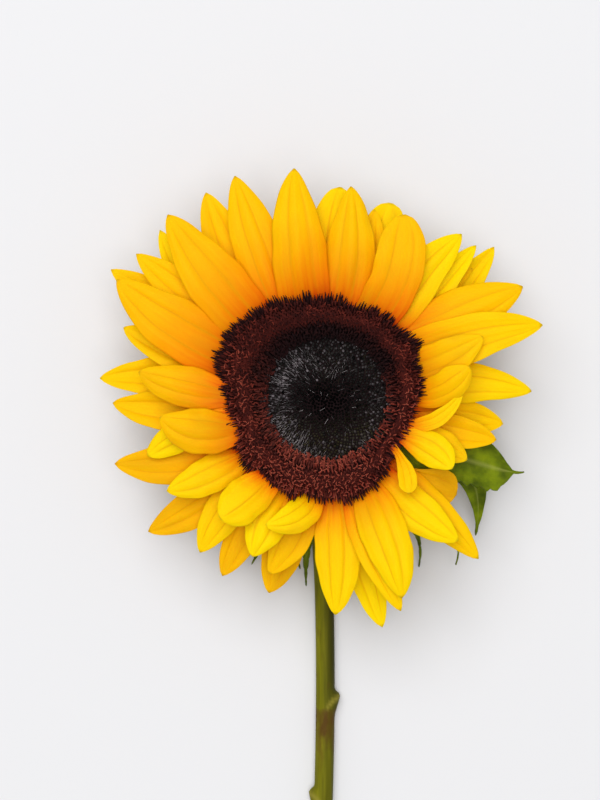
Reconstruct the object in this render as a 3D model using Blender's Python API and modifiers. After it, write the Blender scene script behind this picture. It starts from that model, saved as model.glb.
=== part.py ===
"""A cut sunflower that lies on its back on a flat surface, with its face up.

Frame: metres, +Z up, the stem runs along -Y, and the origin is on the surface,
under the middle of the flower's outline.
"""
import math

import bmesh
import bpy
from mathutils import Vector

MM = 0.001

# Driving dimensions, in metres. Heights are above the surface that the flower lies on.
STEM_RADIUS = 3.35 * MM
STEM_LENGTH = 300 * MM          # from the cut end to the middle of the head
STEM_SWAY = 2.2 * MM            # it snakes this far to each side along the surface,
STEM_SWAY_LENGTH = 165 * MM     # and crosses the middle at this spacing
NECK_BEND_RADIUS = 16.5 * MM    # the neck turns up through a right angle
NECK_START_RADIUS = 4.4 * MM    # where the bend begins
NECK_RADIUS = 6.2 * MM          # where it meets the receptacle
NECK_TOP = 23 * MM
STEM_ROUNDNESS = 3              # bevel resolution of the stem's line
RECEPTACLE_RIM_RADIUS = 31 * MM
RECEPTACLE_TOP = 44 * MM
DISC_RADIUS = 35.5 * MM         # outside of the ring of open florets
DISC_CENTRE_RADIUS = 20.5 * MM  # inside of that ring
FLORET_HEIGHT = 5.5 * MM
CLOSED_FLORET_HEIGHT = 3.2 * MM
PETAL_THICKNESS = 0.7 * MM
PETAL_BASE_RADIUS = RECEPTACLE_RIM_RADIUS + 0.65 * MM
PETAL_BASE_HEIGHT = 43 * MM     # the topmost layer's
LAYER_STEP = 1.3 * MM           # each layer starts this much lower,
TOP_RISE = 42                   # and sets off less steeply, in degrees,
LAYER_RISE_STEP = 12.5
TOP_TIP_HEIGHT = 9 * MM         # and ends lower in relation to its foot
LAYER_TIP_STEP = 4 * MM
BRACT_THICKNESS = 0.9 * MM
BRACT_BASE_RADIUS = 30.1 * MM
BRACT_BASE_HEIGHT = 34 * MM
BRACT_DROOP = -6                # the slope that a bract sets off with, in degrees
BRACT_CUP = 0.35
BLADE_ROWS = 6                  # points along a petal or a bract
BLADE_COLUMNS = 4               # and across it
GAP = 0.3 * MM                  # left between pieces that touch
TURN_STEPS = 32

# Petals, counter-clockwise. Each: the direction of its foot and of its tip round
# the head in degrees, the tip's distance from the head's axis and the width in mm,
# the layer (0 is on top, 4 lies underneath), the roll in degrees (+ lifts the
# counter-clockwise edge), the cup (+ lifts both edges, - lowers them) and how many mm
# the blade bows counter-clockwise.
PETALS = (
    (1, 12.2, 50.5, 11, 0.0, 8, -0.35, 0),
    (9, 2.1, 71.4, 12.5, 2.9, 0, -0.3, 0),
    (16, 20.9, 57.8, 12.5, 0.5, 0, -0.3, 0),
    (25, 18.4, 78.3, 15, 2.1, 4, 0.3, 0),
    (34, 29.0, 77.7, 17.3, 1.5, 0, -0.2, -1),
    (38, 41.1, 75.6, 12, 4.0, 0, 0.2, -2),
    (43, 44.5, 73.8, 10.5, 2.8, 0, 0.4, 0),
    (50, 49.3, 72.8, 14.5, 2.0, 0, 0.2, 1),
    (56, 65.6, 67.4, 15, 1.0, 0, -0.3, -1),
    (64, 70.0, 70.5, 14, 3.3, 0, 0.3, 1),
    (76, 81.7, 71.7, 15.5, 1.6, 0, -0.3, 0),
    (86, 84.4, 71.7, 15, 2.8, 0, 0.2, 0),
    (98, 96.4, 77.1, 16.5, 1.0, 0, -0.3, 0.7),
    (113, 110.9, 79.9, 16, 2.0, 0, -0.2, 0),
    (122, 118.9, 79.6, 16.5, 3.2, 0, -0.2, 1),
    (132, 129.6, 79.6, 17.5, 1.2, 0, -0.3, 0.5),
    (142, 141.7, 78.6, 13.5, 2.4, 0, 0.2, 0),
    (148, 148.2, 83.2, 13.3, 3.6, 0, 0.2, 0),
    (154, 149.6, 78.6, 18, 1.4, 0, -0.3, 1),
    (163, 160.0, 70.2, 13, 2.4, 0, 0.4, 0),
    (170, 174.6, 74.7, 13.6, 3.4, 0, 0.3, 0),
    (177, 171.5, 61.0, 14, 1.2, 0, -0.3, 0),
    (187, 181.1, 69.8, 13.5, 2.9, 0, 0.3, 0),
    (200, 186.5, 53.3, 15.3, 0.3, 0, -0.3, 0),
    (209, 197.5, 72.4, 15, 2.8, 0, 0.2, 0),
    (218, 211.7, 59.6, 14, 1.4, 0, -0.3, 0),
    (223, 217.7, 73.4, 14.5, 3.6, 0, 0.2, 0.7),
    (231, 232.0, 65.4, 13.5, 2.5, 0, -0.2, -1.5),
    (237, 232.0, 53.4, 15.5, 0.0, 0, -0.5, -0.6),
    (243, 241.2, 68.3, 13, 3.4, 0, 0.2, -1.5),
    (249, 246.8, 57.1, 14, 1.2, 0, -0.2, -1),
    (257, 255.3, 68.0, 15.5, 3.9, 0, -0.2, 0),
    (262, 253.8, 61.1, 13.5, 2.6, 0, 0.2, 0),
    (267, 246.6, 45.4, 11, 0.3, 0, -0.3, 0),
    (279, 274.1, 72.5, 15.5, 2.1, 0, -0.2, 0),
    (284, 285.4, 80.3, 13.5, 3.8, 0, 0.2, 0),
    (288, 290.9, 75.6, 10.7, 1.3, 0, -0.2, 0),
    (297, 292.4, 71.3, 15.8, 0.6, 0, -0.2, 0.5),
    (308, 314.2, 66.0, 14, 1.3, 0, -0.2, 0),
    (316, 314.8, 75.7, 12, 2.6, 0, -0.2, 0),
    (322, 326.6, 56.3, 11.3, 3.9, 0, 0.3, 0),
    (327, 314.4, 42.4, 5, 0.0, 0, 0.3, 0),
    (334, 332.2, 48.6, 10.5, 0.4, 0, -0.3, 1),
    (340, 337.5, 53.1, 11.3, 1.5, 0, -0.3, 0),
    (346, 347.0, 60.9, 11.3, 2.5, 0, 0.2, 0),
    (353, 352.3, 62.8, 12.5, 3.8, 0, 0.2, 0),
)

# Bracts, the green leaves behind the petals. Each: the direction of its foot and of
# its tip in degrees, the tip's distance from the axis, the tip's height and the
# width in mm. Those whose tip is at 0.4 mm help the stem to carry the head.
BRACTS = (
    (350, 340, 72, 27, 17),
    (330, 319, 72, 6, 12),
    (305, 301, 69, 0.4, 13),
    (262, 266, 65, 13, 12),
    (238, 236, 60, 0.4, 13),
    (203, 200, 60, 0.4, 14),
    (167, 165, 62, 0.4, 14),
    (126, 125, 62, 0.4, 14),
    (82, 80, 60, 0.4, 14),
    (36, 35, 60, 0.4, 14),
)

# Leaf stubs left on the stem: distance from the head's axis along the stem in mm,
# and the side that each points to.
LEAF_STUBS = ((106, 1), (140, -1), (186, 1), (231, -1), (272, 1))


def clear_scene():
    for obj in list(bpy.data.objects):
        bpy.data.objects.remove(obj, do_unlink=True)


def make_collection(name):
    collection = bpy.data.collections.new(name)
    bpy.context.scene.collection.children.link(collection)
    return collection


def make_material(name, colour, roughness):
    material = bpy.data.materials.new(name)
    material.use_nodes = True
    shader = material.node_tree.nodes["Principled BSDF"]
    shader.inputs["Base Color"].default_value = (*colour, 1)
    shader.inputs["Roughness"].default_value = roughness
    shader.inputs["Metallic"].default_value = 0
    return material


def add_object(name, data, material, collection, parent):
    obj = bpy.data.objects.new(name, data)
    data.materials.append(material)
    collection.objects.link(obj)
    obj.parent = parent
    return obj


def polar(degrees, radius, height=0.0):
    angle = math.radians(degrees)
    return Vector((radius * math.cos(angle), radius * math.sin(angle), height))


def smooth_step(low, high, value):
    t = min(max((value - low) / (high - low), 0), 1)
    return t * t * (3 - 2 * t)


def petal_width(s):
    """Share of the full width at s, from the narrow claw at 0 to the pointed tip at 1."""
    claw, widest, tip_power = 0.23, 0.42, 0.7
    grown = claw + (1 - claw) * smooth_step(-0.1, 0.34, s)
    past = max((s - widest) / (1 - widest), 0)
    return grown * max(1 - past * past, 0.02) ** tip_power


def bract_width(s):
    """Share of the full width at s: broad near the foot, drawn out to a long point."""
    foot, widest = 0.6, 0.25
    grown = foot + (1 - foot) * smooth_step(0, widest, s)
    past = max((s - widest) / (1 - widest), 0)
    return max(grown * (1 - past) ** 0.9, 0.08)


def blade_point(foot, knee, tip, half_width, roll, cup, s, u):
    """A point of a leaf-like blade: s runs along its arched middle line, u across it."""
    middle = (1 - s) ** 2 * foot + 2 * s * (1 - s) * knee + s * s * tip
    along = ((1 - s) * (knee - foot) + s * (tip - knee)).normalized()
    left = Vector((0, 0, 1)).cross(along).normalized()
    normal = along.cross(left)
    turn = roll * s
    left, normal = (
        left * math.cos(turn) + normal * math.sin(turn),
        normal * math.cos(turn) - left * math.sin(turn),
    )
    bend = cup * smooth_step(0, 0.4, s) + 1e-6
    across = half_width * math.sin(bend * u) / bend
    up = half_width * (1 - math.cos(bend * u)) / bend
    return middle + left * across + normal * up


def add_blade(name, foot, tip, rise, width, width_share, roll, cup, bow, thickness,
              material, collection, parent):
    """A petal or a bract: an arched strip of faces, given its thickness by Solidify.

    It leaves the head almost square to the rim, and then turns towards its tip.
    """
    heading = polar(math.degrees(math.atan2(foot.y, foot.x)), 1)
    chord = Vector((tip.x - foot.x, tip.y - foot.y, 0))
    knee = foot + chord.length * 0.5 * (3 * heading + chord.normalized()).normalized()
    knee += Vector((-chord.y, chord.x, 0)).normalized() * 2 * bow
    knee.z = foot.z + chord.length * 0.5 * math.tan(rise)
    mesh = bmesh.new()
    bmesh.ops.create_grid(mesh, x_segments=BLADE_ROWS, y_segments=BLADE_COLUMNS, size=1)
    for vertex in mesh.verts:
        s = (vertex.co.x + 1) / 2
        half_width = width / 2 * width_share(s)
        vertex.co = blade_point(foot, knee, tip, half_width, roll, cup, s, vertex.co.y)
    data = bpy.data.meshes.new(name)
    mesh.to_mesh(data)
    mesh.free()
    data.shade_smooth()
    blade = add_object(name, data, material, collection, parent)
    shell = blade.modifiers.new("Thickness", "SOLIDIFY")
    shell.thickness = thickness
    shell.offset = 0
    return blade


def add_petals(material, collection, parent):
    for number, row in enumerate(PETALS, 1):
        foot_at, tip_at, tip_radius, width, layer, roll, cup, bow = row
        foot = polar(foot_at, PETAL_BASE_RADIUS, PETAL_BASE_HEIGHT - layer * LAYER_STEP)
        tip_height = foot.z + TOP_TIP_HEIGHT - layer * LAYER_TIP_STEP
        tip = polar(tip_at, tip_radius * MM, tip_height)
        rise = math.radians(TOP_RISE - layer * LAYER_RISE_STEP)
        add_blade(f"petal_{number:02d}", foot, tip, rise, width * MM, petal_width,
                  math.radians(roll), cup, bow * MM, PETAL_THICKNESS, material,
                  collection, parent)


def add_bracts(material, collection, parent):
    rise = math.radians(BRACT_DROOP)
    for number, (foot_at, tip_at, tip_radius, tip_height, width) in enumerate(BRACTS, 1):
        foot = polar(foot_at, BRACT_BASE_RADIUS, BRACT_BASE_HEIGHT)
        tip = polar(tip_at, tip_radius * MM, tip_height * MM)
        add_blade(f"bract_{number:02d}", foot, tip, rise, width * MM, bract_width, 0, BRACT_CUP,
                  0, BRACT_THICKNESS, material, collection, parent)


def add_turned(name, profile, closed, material, collection, parent):
    """A turned piece: its profile, (radius, height) points down its outer side, and a Screw."""
    data = bpy.data.meshes.new(name)
    edges = [(i, i + 1) for i in range(len(profile) - 1)]
    if closed:
        edges.append((len(profile) - 1, 0))
    data.from_pydata([(r, 0, z) for r, z in profile], edges, [])
    piece = add_object(name, data, material, collection, parent)
    turn = piece.modifiers.new("Turn", "SCREW")
    turn.steps = TURN_STEPS
    turn.render_steps = TURN_STEPS
    turn.use_merge_vertices = True
    turn.merge_threshold = 0.00005
    turn.use_smooth_shade = True
    return piece


def add_receptacle(material, collection, parent):
    bottom = NECK_TOP + GAP
    rim = RECEPTACLE_RIM_RADIUS
    profile = (
        (0, RECEPTACLE_TOP),
        (rim, RECEPTACLE_TOP),
        (rim, RECEPTACLE_TOP - 8 * MM),
        (rim * 0.87, bottom + 9.2 * MM),
        (rim * 0.65, bottom + 4.2 * MM),
        (rim * 0.39, bottom + 0.8 * MM),
        (NECK_RADIUS, bottom),
        (0, bottom),
    )
    add_turned("receptacle", profile, False, material, collection, parent)


def add_disc(ring_material, centre_material, collection, parent):
    low = RECEPTACLE_TOP + GAP
    top = low + FLORET_HEIGHT
    inner = DISC_CENTRE_RADIUS
    ring = (
        (inner, low),
        (inner - 0.5 * MM, top - 1.5 * MM),
        (inner + 2.5 * MM, top + 0.6 * MM),
        (DISC_RADIUS - 6 * MM, top + 1 * MM),
        (DISC_RADIUS - 1.5 * MM, top),
        (DISC_RADIUS, top - 1 * MM),
        (RECEPTACLE_RIM_RADIUS, low),
    )
    add_turned("open_florets", ring, True, ring_material, collection, parent)
    edge = DISC_CENTRE_RADIUS - 1 * MM
    centre = (
        (0, low + CLOSED_FLORET_HEIGHT),
        (edge * 0.6, low + CLOSED_FLORET_HEIGHT * 0.92),
        (edge, low + CLOSED_FLORET_HEIGHT * 0.6),
        (edge, low),
        (0, low),
    )
    add_turned("closed_florets", centre, False, centre_material, collection, parent)


def stem_path():
    """Points and radii from the cut end, along the surface, and up through the neck."""
    points = []
    straight = STEM_LENGTH - NECK_BEND_RADIUS
    straight_steps, bend_steps = 14, 7
    for i in range(straight_steps + 1):
        share = i / straight_steps
        y = -STEM_LENGTH + straight * share
        sway = STEM_SWAY * math.sin(math.pi * straight * (1 - share) / STEM_SWAY_LENGTH)
        radius = STEM_RADIUS + (NECK_START_RADIUS - STEM_RADIUS) * smooth_step(0.8, 1, share)
        points.append((Vector((sway, y, radius)), radius))
    centre_height = NECK_START_RADIUS + NECK_BEND_RADIUS
    for i in range(1, bend_steps + 1):
        share = i / bend_steps
        angle = math.pi / 2 * share
        radius = NECK_START_RADIUS + (NECK_RADIUS - NECK_START_RADIUS) * share ** 1.5
        y = -NECK_BEND_RADIUS * (1 - math.sin(angle))
        z = centre_height - NECK_BEND_RADIUS * math.cos(angle)
        points.append((Vector((0, y, z)), radius))
    points.append((Vector((0, 0, NECK_TOP)), NECK_RADIUS))
    return points


def add_stem(material, collection, parent, cutters):
    path = stem_path()
    curve = bpy.data.curves.new("stem_line", "CURVE")
    curve.dimensions = "3D"
    curve.bevel_depth = 1
    curve.bevel_resolution = STEM_ROUNDNESS
    curve.use_fill_caps = True
    spline = curve.splines.new("POLY")
    spline.points.add(len(path) - 1)
    for point, (place, radius) in zip(spline.points, path):
        point.co = (*place, 1)
        point.radius = radius
    line = bpy.data.objects.new("stem_line", curve)
    collection.objects.link(line)
    bpy.context.view_layer.update()
    graph = bpy.context.evaluated_depsgraph_get()
    data = bpy.data.meshes.new_from_object(line.evaluated_get(graph))
    bpy.data.objects.remove(line)
    mesh = bmesh.new()
    mesh.from_mesh(data)
    bmesh.ops.remove_doubles(mesh, verts=mesh.verts, dist=0.00001)
    bmesh.ops.recalc_face_normals(mesh, faces=mesh.faces)
    mesh.to_mesh(data)
    mesh.free()
    data.shade_smooth()
    stem = add_object("stem", data, material, collection, parent)
    for number, (distance, side) in enumerate(LEAF_STUBS, 1):
        stub = add_stub(f"stub_{number}", -distance * MM, side, path, cutters, parent)
        join = stem.modifiers.new(f"Stub {number}", "BOOLEAN")
        join.operation = "UNION"
        join.object = stub
    return stem


def add_stub(name, y, side, path, cutters, parent):
    """A short cone: what stays of a leaf stalk that was broken off."""
    length, foot_radius, end_radius = 8 * MM, 2.6 * MM, 1.1 * MM
    near = min(path, key=lambda item: abs(item[0].y - y))[0]
    mesh = bmesh.new()
    bmesh.ops.create_cone(mesh, cap_ends=True, segments=10, radius1=foot_radius,
                          radius2=end_radius, depth=length)
    data = bpy.data.meshes.new(name)
    mesh.to_mesh(data)
    mesh.free()
    stub = bpy.data.objects.new(name, data)
    cutters.objects.link(stub)
    stub.parent = parent
    pointing = Vector((side * 0.62, 0.7, 0.22)).normalized()
    stub.rotation_euler = pointing.to_track_quat("Z", "Y").to_euler()
    stub.location = Vector((near.x, y, STEM_RADIUS)) + pointing * (length / 2 - 1.2 * MM)
    stub.hide_render = True
    stub.display_type = "WIRE"
    return stub


def place_on_origin(root, collection):
    """Moves the whole flower so that the origin is under the middle of its outline."""
    bpy.context.view_layer.update()
    graph = bpy.context.evaluated_depsgraph_get()
    low, high = Vector((1, 1, 1)), Vector((-1, -1, -1))
    for obj in collection.objects:
        if obj.type != "MESH":
            continue
        shown = obj.evaluated_get(graph)
        for vertex in shown.data.vertices:
            place = shown.matrix_world @ vertex.co
            low = Vector(map(min, low, place))
            high = Vector(map(max, high, place))
    middle = (low + high) / 2
    root.location = (-middle.x, -middle.y, -low.z)
    bpy.context.view_layer.update()


def main():
    clear_scene()
    flower = make_collection("sunflower")
    cutters = make_collection("stem_stubs")
    root = bpy.data.objects.new("head_axis", None)
    flower.objects.link(root)
    petal = make_material("petal_yellow", (0.95, 0.55, 0.01), 0.5)
    leaf = make_material("leaf_green", (0.10, 0.20, 0.03), 0.6)
    stalk = make_material("stalk_green", (0.16, 0.19, 0.02), 0.55)
    ring = make_material("floret_brown", (0.09, 0.015, 0.01), 0.7)
    centre = make_material("floret_black", (0.01, 0.01, 0.012), 0.4)
    add_stem(stalk, flower, root, cutters)
    add_receptacle(leaf, flower, root)
    add_disc(ring, centre, flower, root)
    add_petals(petal, flower, root)
    add_bracts(leaf, flower, root)
    place_on_origin(root, flower)


main()
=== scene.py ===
import math
import random

import bpy
import numpy as np
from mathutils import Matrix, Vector, noise


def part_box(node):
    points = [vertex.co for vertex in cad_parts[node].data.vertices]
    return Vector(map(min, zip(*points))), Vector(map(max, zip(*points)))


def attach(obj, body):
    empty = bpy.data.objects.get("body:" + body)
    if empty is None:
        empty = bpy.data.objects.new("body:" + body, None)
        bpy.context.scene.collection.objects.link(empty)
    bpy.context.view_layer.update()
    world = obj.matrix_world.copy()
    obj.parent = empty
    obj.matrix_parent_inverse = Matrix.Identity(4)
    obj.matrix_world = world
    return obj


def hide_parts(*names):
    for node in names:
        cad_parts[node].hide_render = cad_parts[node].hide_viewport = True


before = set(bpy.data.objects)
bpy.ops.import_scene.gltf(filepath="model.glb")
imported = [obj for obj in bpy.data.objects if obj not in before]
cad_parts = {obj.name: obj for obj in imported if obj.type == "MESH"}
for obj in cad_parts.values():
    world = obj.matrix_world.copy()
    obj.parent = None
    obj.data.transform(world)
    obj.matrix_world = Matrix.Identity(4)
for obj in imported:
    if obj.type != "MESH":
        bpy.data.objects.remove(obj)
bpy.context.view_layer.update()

mm = 0.001

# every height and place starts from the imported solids: the head's axis, the disc and the receptacle
ringLow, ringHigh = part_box("open_florets")
backLow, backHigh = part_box("receptacle")
headX = (ringLow[0] + ringHigh[0]) / 2
headY = (ringLow[1] + ringHigh[1]) / 2
rimRadius = (backHigh[0] - backLow[0]) / 2
rimTop = backHigh[2]


# small helpers for meshes
def selectOnly(piece):
    bpy.ops.object.select_all(action="DESELECT")
    piece.select_set(True)
    bpy.context.view_layer.objects.active = piece


def addPrimitive(kind, **settings):
    bpy.ops.object.select_all(action="DESELECT")
    getattr(bpy.ops.mesh, f"primitive_{kind}_add")(**settings)
    return bpy.context.object


def applyModifier(piece, kind, **settings):
    selectOnly(piece)
    modifier = piece.modifiers.new(kind.title(), kind)
    for name, value in settings.items():
        setattr(modifier, name, value)
    bpy.ops.object.modifier_apply(modifier=modifier.name)


def vertexPlaces(piece):
    places = np.empty(len(piece.data.vertices) * 3)
    piece.data.vertices.foreach_get("co", places)
    return places.reshape(-1, 3)


def setVertexPlaces(piece, places):
    piece.data.vertices.foreach_set("co", np.ascontiguousarray(places, dtype=np.float64).ravel())
    piece.data.update()


def setTones(piece, name, columns):
    # up to three numbers a vertex, which the piece's material reads as one colour
    rows = np.ones((len(piece.data.vertices), 4))
    for i, column in enumerate(columns):
        rows[:, i] = column
    layer = piece.data.color_attributes.new(name, "FLOAT_COLOR", "POINT")
    layer.data.foreach_set("color", rows.ravel())


def finishPiece(piece, name, material, nodes=()):
    piece.name = name
    piece.data.name = name
    piece.data.materials.clear()
    piece.data.materials.append(material)
    selectOnly(piece)
    bpy.ops.object.shade_smooth()
    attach(piece, "root")
    if nodes:
        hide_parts(*nodes)
    return piece


def smoothStep(low, high, value):
    t = np.clip((value - low) / (high - low), 0, 1)
    return t * t * (3 - 2 * t)


def unit(rows):
    return rows / np.linalg.norm(rows, axis=-1, keepdims=True)


def aroundHead(degrees, radius, height):
    angle = math.radians(degrees)
    return np.array([headX + radius * math.cos(angle), headY + radius * math.sin(angle), height])


# small helpers for materials
def hexColour(text):
    channels = []
    for start in (0, 2, 4):
        value = int(text[start:start + 2], 16) / 255
        channels.append(value / 12.92 if value <= 0.04045 else ((value + 0.055) / 1.055) ** 2.4)
    return (*channels, 1)


def newMaterial(name, toneName=None, **sockets):
    # with a tone name, the piece's own tones come along as the colour that they were stored in
    material = bpy.data.materials.new(name)
    material.use_nodes = True
    tree = material.node_tree
    shader = tree.nodes["Principled BSDF"]
    for label, value in sockets.items():
        shader.inputs[label.replace("_", " ")].default_value = value
    if not toneName:
        return material, tree, shader, None
    tone = addNode(tree, "VertexColor", {"layer_name": toneName})
    return material, tree, shader, addNode(tree, "SeparateColor", links={"Color": tone})


def addNode(tree, kind, settings=None, links=None, stops=None):
    # settings and links go by socket name or number; a linked node gives its first output
    node = tree.nodes.new("ShaderNode" + kind)
    for name, value in (settings or {}).items():
        if isinstance(name, int) or name in node.inputs:
            node.inputs[name].default_value = value
        else:
            setattr(node, name, value)
    if stops:
        ramp = node.color_ramp
        while len(ramp.elements) < len(stops):
            ramp.elements.new(0.5)
        for element, (place, colour) in zip(ramp.elements, stops):
            element.position = place
            element.color = hexColour(colour) if isinstance(colour, str) else (colour, colour, colour, 1)
    for name, source in (links or {}).items():
        tree.links.new(source.outputs[0] if hasattr(source, "outputs") else source, node.inputs[name])
    return node


# the petals: lengths in metres, angles in degrees, and shares of a petal's width or length
petalValues = {
    "columns": 30,
    "rows": 34,
    "thickness": 0.36 * mm,
    "footRadius": rimRadius + 0.65 * mm,
    "footHeight": rimTop - 1 * mm,
    "layerStep": 1.3 * mm,
    "topRise": 42,
    "layerRiseStep": 12.5,
    "topTipHeight": 9 * mm,
    "layerTipStep": 4 * mm,
    "claw": 0.52,
    "widest": 0.42,
    "upperClaw": 0.9,
    "upperWidest": 0.28,
    "upperWidth": 1.13,
    "upperFrom": 8,
    "upperTo": 172,
    "tipPower": 0.7,
    "lobeDepth": 0.16 * mm,
    "grooveDepth": 0.26 * mm,
    "grooveWidth": 0.045,
    "fold": 0.22,
    "veinDepth": 0.03 * mm,
    "ruffle": 0.35 * mm,
    "usualWidth": 15,
    "creases": (-0.36, 0.34),
    "creaseShift": 0.1,
    "veinRate": 28,
    "edgeWave": 0.035,
    "shortFringe": 34.3 * mm,
    "underFringe": 2.4 * mm,
    "raisedFoot": 2.1 * mm,
    "glow": 0.3,
    "upperGlow": 0.44,
    "upperGlowFrom": 55,
    "upperGlowTo": 185,
}

# a row for each solid petal, counter-clockwise: direction of foot and tip in degrees, tip's distance
# from the axis and width in mm, layer (0 on top), roll in degrees, cup, bow in mm, and last how lemon
# yellow it is (0 golden, 1 lemon)
petalRows = [
    (1, 12.2, 50.5, 11, 0.0, 8, -0.35, 0, 0.2),
    (9, 2.1, 71.4, 12.5, 2.9, 0, -0.3, 0, 0.8),
    (16, 20.9, 57.8, 12.5, 0.5, 0, -0.3, 0, 0.3),
    (25, 18.4, 78.3, 15, 1.5, 4, 0.3, 0, 0.6),
    (34, 29.0, 77.7, 17.3, 2.1, 0, -0.2, -1, 0.2),
    (38, 41.1, 78.6, 12, 4.0, 0, 0.2, -2, 0.7),
    (43, 44.5, 73.8, 10.5, 2.8, 0, 0.4, 0, 1.0),
    (50, 49.3, 72.8, 14.5, 2.0, 0, 0.2, 1, 0.9),
    (56, 65.6, 67.4, 15, 1.0, 0, -0.3, -1, 0.2),
    (64, 70.0, 70.5, 14, 3.3, 0, 0.3, 1, 0.9),
    (76, 81.7, 71.7, 15.5, 1.6, 0, -0.3, 0, 0.3),
    (86, 84.4, 71.7, 15, 2.8, 0, 0.2, 0, 0.9),
    (98, 96.4, 77.1, 16.5, 1.0, 0, -0.3, 0.7, 0.4),
    (113, 110.9, 79.9, 16, 2.0, 0, -0.2, 0, 0.3),
    (122, 118.9, 79.6, 16.5, 3.2, 0, -0.2, 1, 0.4),
    (132, 129.6, 79.6, 17.5, 1.2, 0, -0.3, 0.5, 0.2),
    (142, 141.7, 78.6, 13.5, 2.4, 0, 0.2, 0, 0.4),
    (148, 148.2, 83.2, 13.3, 3.6, 0, 0.2, 0, 0.5),
    (154, 149.6, 78.6, 18, 1.4, 0, -0.3, 1, 0.1),
    (163, 160.0, 70.2, 13, 2.4, 0, 0.4, 0, 0.6),
    (170, 174.6, 74.7, 13.6, 3.4, 0, 0.3, 0, 0.6),
    (177, 171.5, 61.0, 14, 1.2, 0, -0.3, 0, 0.2),
    (187, 181.1, 69.8, 13.5, 2.9, 0, 0.3, 0, 0.2),
    (200, 186.5, 53.3, 15.3, 0.3, 0, -0.3, 0, 0.0),
    (209, 197.5, 72.4, 15, 2.8, 0, 0.2, 0, 0.0),
    (217, 211.0, 59.6, 12.6, 1.4, 0, -0.3, 0, 0.7),
    (223, 217.7, 73.4, 14.5, 3.6, 0, 0.2, 0.7, 0.0),
    (231, 232.0, 65.4, 13.5, 2.5, 0, -0.2, -1.5, 0.6),
    (237, 229.8, 51.4, 15, 0.0, 0, -0.5, -0.6, 0.7),
    (243, 241.2, 68.3, 13, 3.4, 0, 0.2, -1.5, 0.0),
    (249, 246.8, 57.1, 14, 1.2, 0, -0.2, -1, 1.0),
    (257, 255.3, 68.0, 15.5, 3.9, 0, -0.2, 0, 0.0),
    (262, 253.8, 61.1, 13.5, 2.6, 0, 0.2, 0, 0.2),
    (267, 246.6, 45.4, 11, 0.3, 0, -0.3, 0, 0.9),
    (279, 274.1, 72.5, 15.5, 2.1, 0, -0.2, 0, 0.7),
    (284, 285.4, 80.3, 13.5, 3.8, 0, 0.2, 0, 1.0),
    (288, 290.9, 75.6, 10.7, 1.3, 0, -0.2, 0, 0.6),
    (297, 292.4, 71.3, 15.8, 0.6, 0, -0.2, 0.5, 0.8),
    (308, 314.2, 66.0, 14, 1.3, 0, -0.2, 0, 1.0),
    (316, 314.8, 75.7, 12, 2.6, 0, -0.2, 0, 0.4),
    (321, 325.0, 56.3, 13, 2.9, 0, 0.5, 0, 0.2),
    (327, 312.9, 42.6, 6.4, 0.0, 0, 0.3, -1, 0.4),
    (335, 332.0, 49.4, 11.5, 0.4, 0, -0.3, 1.5, 0.9),
    (340, 337.5, 53.1, 11.3, 1.5, 0, -0.3, 0, 0.5),
    (346, 347.0, 60.9, 11.3, 2.5, 0, 0.2, 0, 0.1),
    (353, 352.3, 62.8, 12.5, 3.8, 0, 0.2, 0, 0.4),
]

# petals that lie almost hidden between those
hiddenPetalRows = [
    (144, 133.4, 79.0, 12, 4.0, 0, 0.2, 0, 1.0),
    (191, 198.2, 60.7, 11, 1.9, 0, -0.2, 0, 1.0),
    (344, 2.8, 47.3, 5.4, 0.6, 0, 0.3, 0, 0.6),
    (46, 40.5, 68.0, 11, 3.5, 0, 0.2, 0, 0.1),
    (69, 73.9, 66.3, 12, 2.6, 0, 0.2, 0, 0.3),
]

# how far the disc's dark fringe reaches over the petals, in mm, every 10 degrees from +X
fringeReach = (34.5, 36.8, 35.6, 39.6, 36.8, 37.2, 36.8, 34.8, 35.7, 35.6, 35.6, 36.8, 38.2, 38.0,
               39.6, 38.8, 38.6, 34.8, 32.7, 32.8, 31.4, 33.7, 35.0, 33.4, 34.4, 35.4, 33.8, 34.8,
               36.2, 36.8, 35.7, 34.9, 31.6, 30.9, 33.0, 33.1)


def fringeAt(degrees):
    return np.interp(np.asarray(degrees) % 360, np.arange(37) * 10, fringeReach + fringeReach[:1]) * mm


# petals with another outline: the claw's share of the width, where it starts and stops widening,
# where the petal starts to narrow, and how pointed its tip is
petalOutlines = {
    "petal_01": (0.5, -0.1, 0.34, 0.62, 0.7),
    "petal_09": (0.85, -0.1, 0.34, 0.6, 0.5),
    "petal_10": (0.85, -0.1, 0.34, 0.6, 0.45),
    "petal_12": (0.9, -0.1, 0.34, 0.5, 0.5),
    "petal_29": (0.6, -0.1, 0.4, 0.6, 0.6),
    "petal_41": (0.1, 0.2, 0.75, 0.8, 0.7),
    "petal_42": (0.4, 0.1, 0.75, 0.82, 0.7),
    "petal_43": (0.35, -0.1, 0.4, 0.5, 0.7),
    "tucked_petal_2": (0.7, -0.1, 0.34, 0.55, 0.6),
}

# petals that lie in the others' shade, with that shade painted into their colour as a duller golden tone,
# the folded one most
paintedShadePetals = {
    "petal_03": 0.2,
    "petal_09": 0.12,
    "petal_22": 0.15,
    "petal_24": 0.25,
    "petal_25": 0.4,
    "petal_27": 0.4,
    "petal_30": 0.35,
    "petal_32": 0.3,
    "petal_33": 0.2,
    "petal_41": 0.8,
    "petal_44": 0.3,
}

# petals with one crease along the middle
singleCreases = {
    "petal_29": (0.06,),
}


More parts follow.
